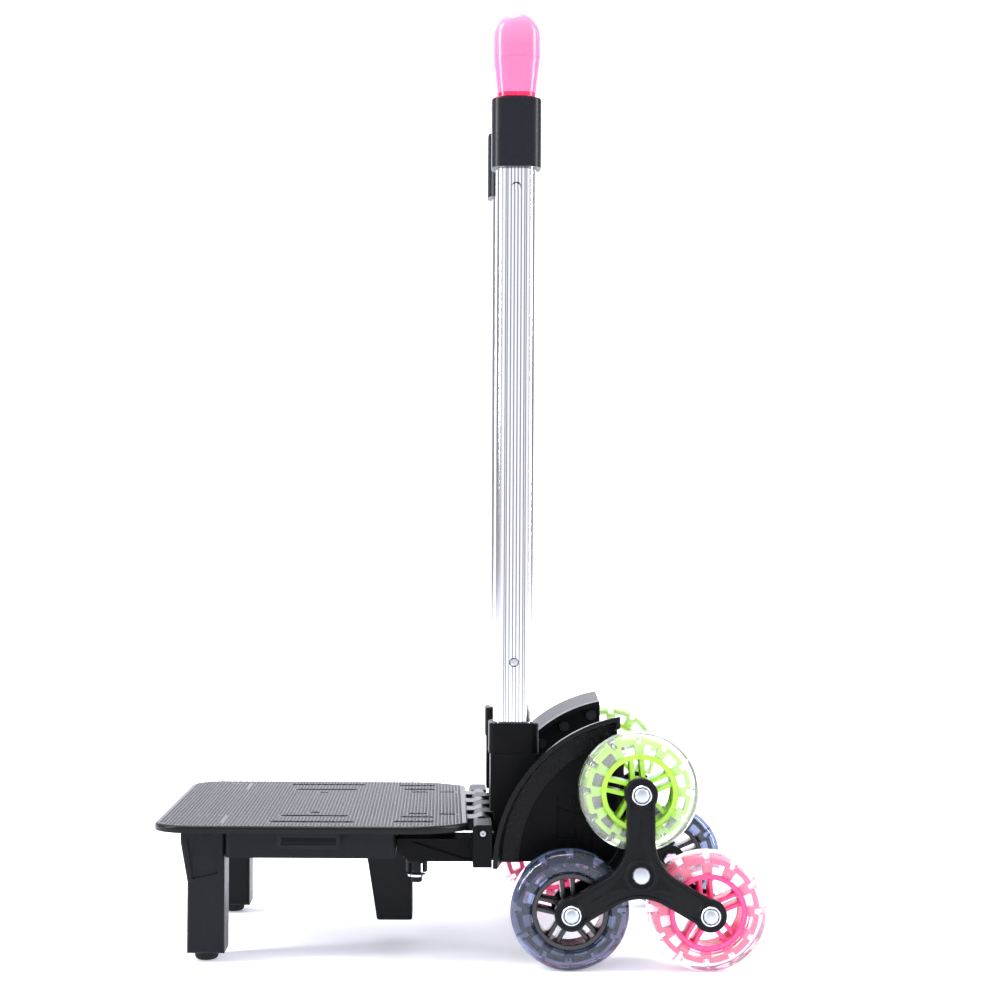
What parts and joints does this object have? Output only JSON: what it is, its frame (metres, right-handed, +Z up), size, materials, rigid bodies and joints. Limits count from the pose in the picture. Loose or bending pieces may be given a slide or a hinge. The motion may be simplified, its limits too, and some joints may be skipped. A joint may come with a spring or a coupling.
{
  "type": "stair climbing trolley",
  "caption": "Folding luggage trolley with a hinged load plate on legs, a telescopic handle and three-wheel spiders that climb stairs.",
  "frame": {"origin": "centre of the footprint, on the floor", "axes": "+Z up along the handle, -X out along the load plate, +X to the wheels, -Y to the left side"},
  "size_m": [0.3926, 0.251, 0.6224],
  "materials": {
    "black_abs": "fine moulded grain, satin black",
    "glossy_black_plastic": "glossy black moulding",
    "bright_aluminium": "bright anodised extrusion with fine flutes",
    "zinc_plated_steel": "bright zinc plating",
    "steel": "plain drawn steel",
    "pink_grip": "glossy translucent pink",
    "nylon": "plain dark nylon",
    "rubber_foot": "matt black rubber",
    "green_core": "lime green moulding",
    "black_core": "black moulding",
    "pink_core": "hot pink moulding",
    "green_clear_tyre": "clear soft moulding with a green tint",
    "smoky_clear_tyre": "clear soft moulding with a smoky blue tint",
    "pink_clear_tyre": "clear soft moulding with a pink tint"
  },
  "bodies": {
    "frame": {"rear_housing": "black_abs", "hinge_pin": "steel", "main_axle": "steel", "axle_bolts": "zinc_plated_steel", "housing_screws": "steel", "guide_bushes": "nylon", "latch_guide": "black_abs", "left_wheel_arch": "black_abs", "left_outer_tube": "bright_aluminium", "left_tube_collar": "glossy_black_plastic", "right_wheel_arch": "black_abs", "right_outer_tube": "bright_aluminium", "right_tube_collar": "glossy_black_plastic"},
    "plate": {"load_plate": "black_abs", "plate_underframe": "black_abs", "centre_leg": "black_abs", "plate_screws": "steel", "left_front_leg": "black_abs", "left_rubber_foot": "rubber_foot", "left_strap_loop": "black_abs", "right_front_leg": "black_abs", "right_rubber_foot": "rubber_foot", "right_strap_loop": "black_abs"},
    "handle": {"grip_body": "pink_grip", "grip_cap": "pink_grip", "grip_screws": "steel", "tube_plugs": "nylon", "lock_clips": "steel", "left_inner_tube": "bright_aluminium", "right_inner_tube": "bright_aluminium"},
    "button": {"release_button": "pink_grip", "release_yoke": "nylon", "push_rods": "steel", "button_spring": "steel"},
    "latch": {"latch_plunger": "black_abs", "latch_ring": "zinc_plated_steel", "latch_spring": "steel"},
    "left_spider": {"left_spider_outer_arm": "black_abs", "left_spider_inner_arm": "black_abs", "left_wheel_bolts": "zinc_plated_steel", "left_wheel_nuts": "zinc_plated_steel", "left_wheel_sleeves": "steel"},
    "left_top_wheel": {"left_top_wheel_core": "green_core", "left_top_wheel_tyre": "green_clear_tyre"},
    "left_front_wheel": {"left_front_wheel_core": "black_core", "left_front_wheel_tyre": "smoky_clear_tyre"},
    "left_rear_wheel": {"left_rear_wheel_core": "pink_core", "left_rear_wheel_tyre": "pink_clear_tyre"},
    "right_spider": {"right_spider_outer_arm": "black_abs", "right_spider_inner_arm": "black_abs", "right_wheel_bolts": "zinc_plated_steel", "right_wheel_nuts": "zinc_plated_steel", "right_wheel_sleeves": "steel"},
    "right_top_wheel": {"right_top_wheel_core": "green_core", "right_top_wheel_tyre": "green_clear_tyre"},
    "right_front_wheel": {"right_front_wheel_core": "pink_core", "right_front_wheel_tyre": "pink_clear_tyre"},
    "right_rear_wheel": {"right_rear_wheel_core": "black_core", "right_rear_wheel_tyre": "smoky_clear_tyre"}
  },
  "joints": [
    {"name": "plate_fold", "type": "hinge", "parent": "frame", "child": "plate", "pos_m": [0.0156, 0, 0.0852], "axis": [0, 1, 0], "range_deg": [0, 85]},
    {"name": "handle_slide", "type": "slide", "parent": "frame", "child": "handle", "axis": [0, 0, 1], "range_m": [0, 0.3145], "deforming": ["lock_clips"]},
    {"name": "button_press", "type": "slide", "parent": "handle", "child": "button", "axis": [0, 0, -1], "range_m": [0, 0.004], "stiffness_N_per_m": 600, "springref_m": -0.004, "deforming": ["button_spring"]},
    {"name": "latch_pull", "type": "slide", "parent": "frame", "child": "latch", "axis": [0, 0, -1], "range_m": [0, 0.005], "stiffness_N_per_m": 500, "springref_m": -0.003, "deforming": ["latch_spring"]},
    {"name": "left_spider_turn", "type": "hinge", "parent": "frame", "child": "left_spider", "pos_m": [0.11462, 0, 0.06325], "axis": [0, 1, 0], "continuous": true},
    {"name": "left_top_wheel_spin", "type": "hinge", "parent": "left_spider", "child": "left_top_wheel", "pos_m": [0.11462, -0.101, 0.11375], "axis": [0, 1, 0], "continuous": true},
    {"name": "left_front_wheel_spin", "type": "hinge", "parent": "left_spider", "child": "left_front_wheel", "pos_m": [0.07088, -0.101, 0.038], "axis": [0, 1, 0], "continuous": true},
    {"name": "left_rear_wheel_spin", "type": "hinge", "parent": "left_spider", "child": "left_rear_wheel", "pos_m": [0.15835, -0.101, 0.038], "axis": [0, 1, 0], "continuous": true},
    {"name": "right_spider_turn", "type": "hinge", "parent": "frame", "child": "right_spider", "pos_m": [0.11462, 0, 0.06325], "axis": [0, 1, 0], "continuous": true},
    {"name": "right_top_wheel_spin", "type": "hinge", "parent": "right_spider", "child": "right_top_wheel", "pos_m": [0.11462, 0.101, 0.11375], "axis": [0, 1, 0], "continuous": true},
    {"name": "right_front_wheel_spin", "type": "hinge", "parent": "right_spider", "child": "right_front_wheel", "pos_m": [0.07088, 0.101, 0.038], "axis": [0, 1, 0], "continuous": true},
    {"name": "right_rear_wheel_spin", "type": "hinge", "parent": "right_spider", "child": "right_rear_wheel", "pos_m": [0.15835, 0.101, 0.038], "axis": [0, 1, 0], "continuous": true}
  ]
}
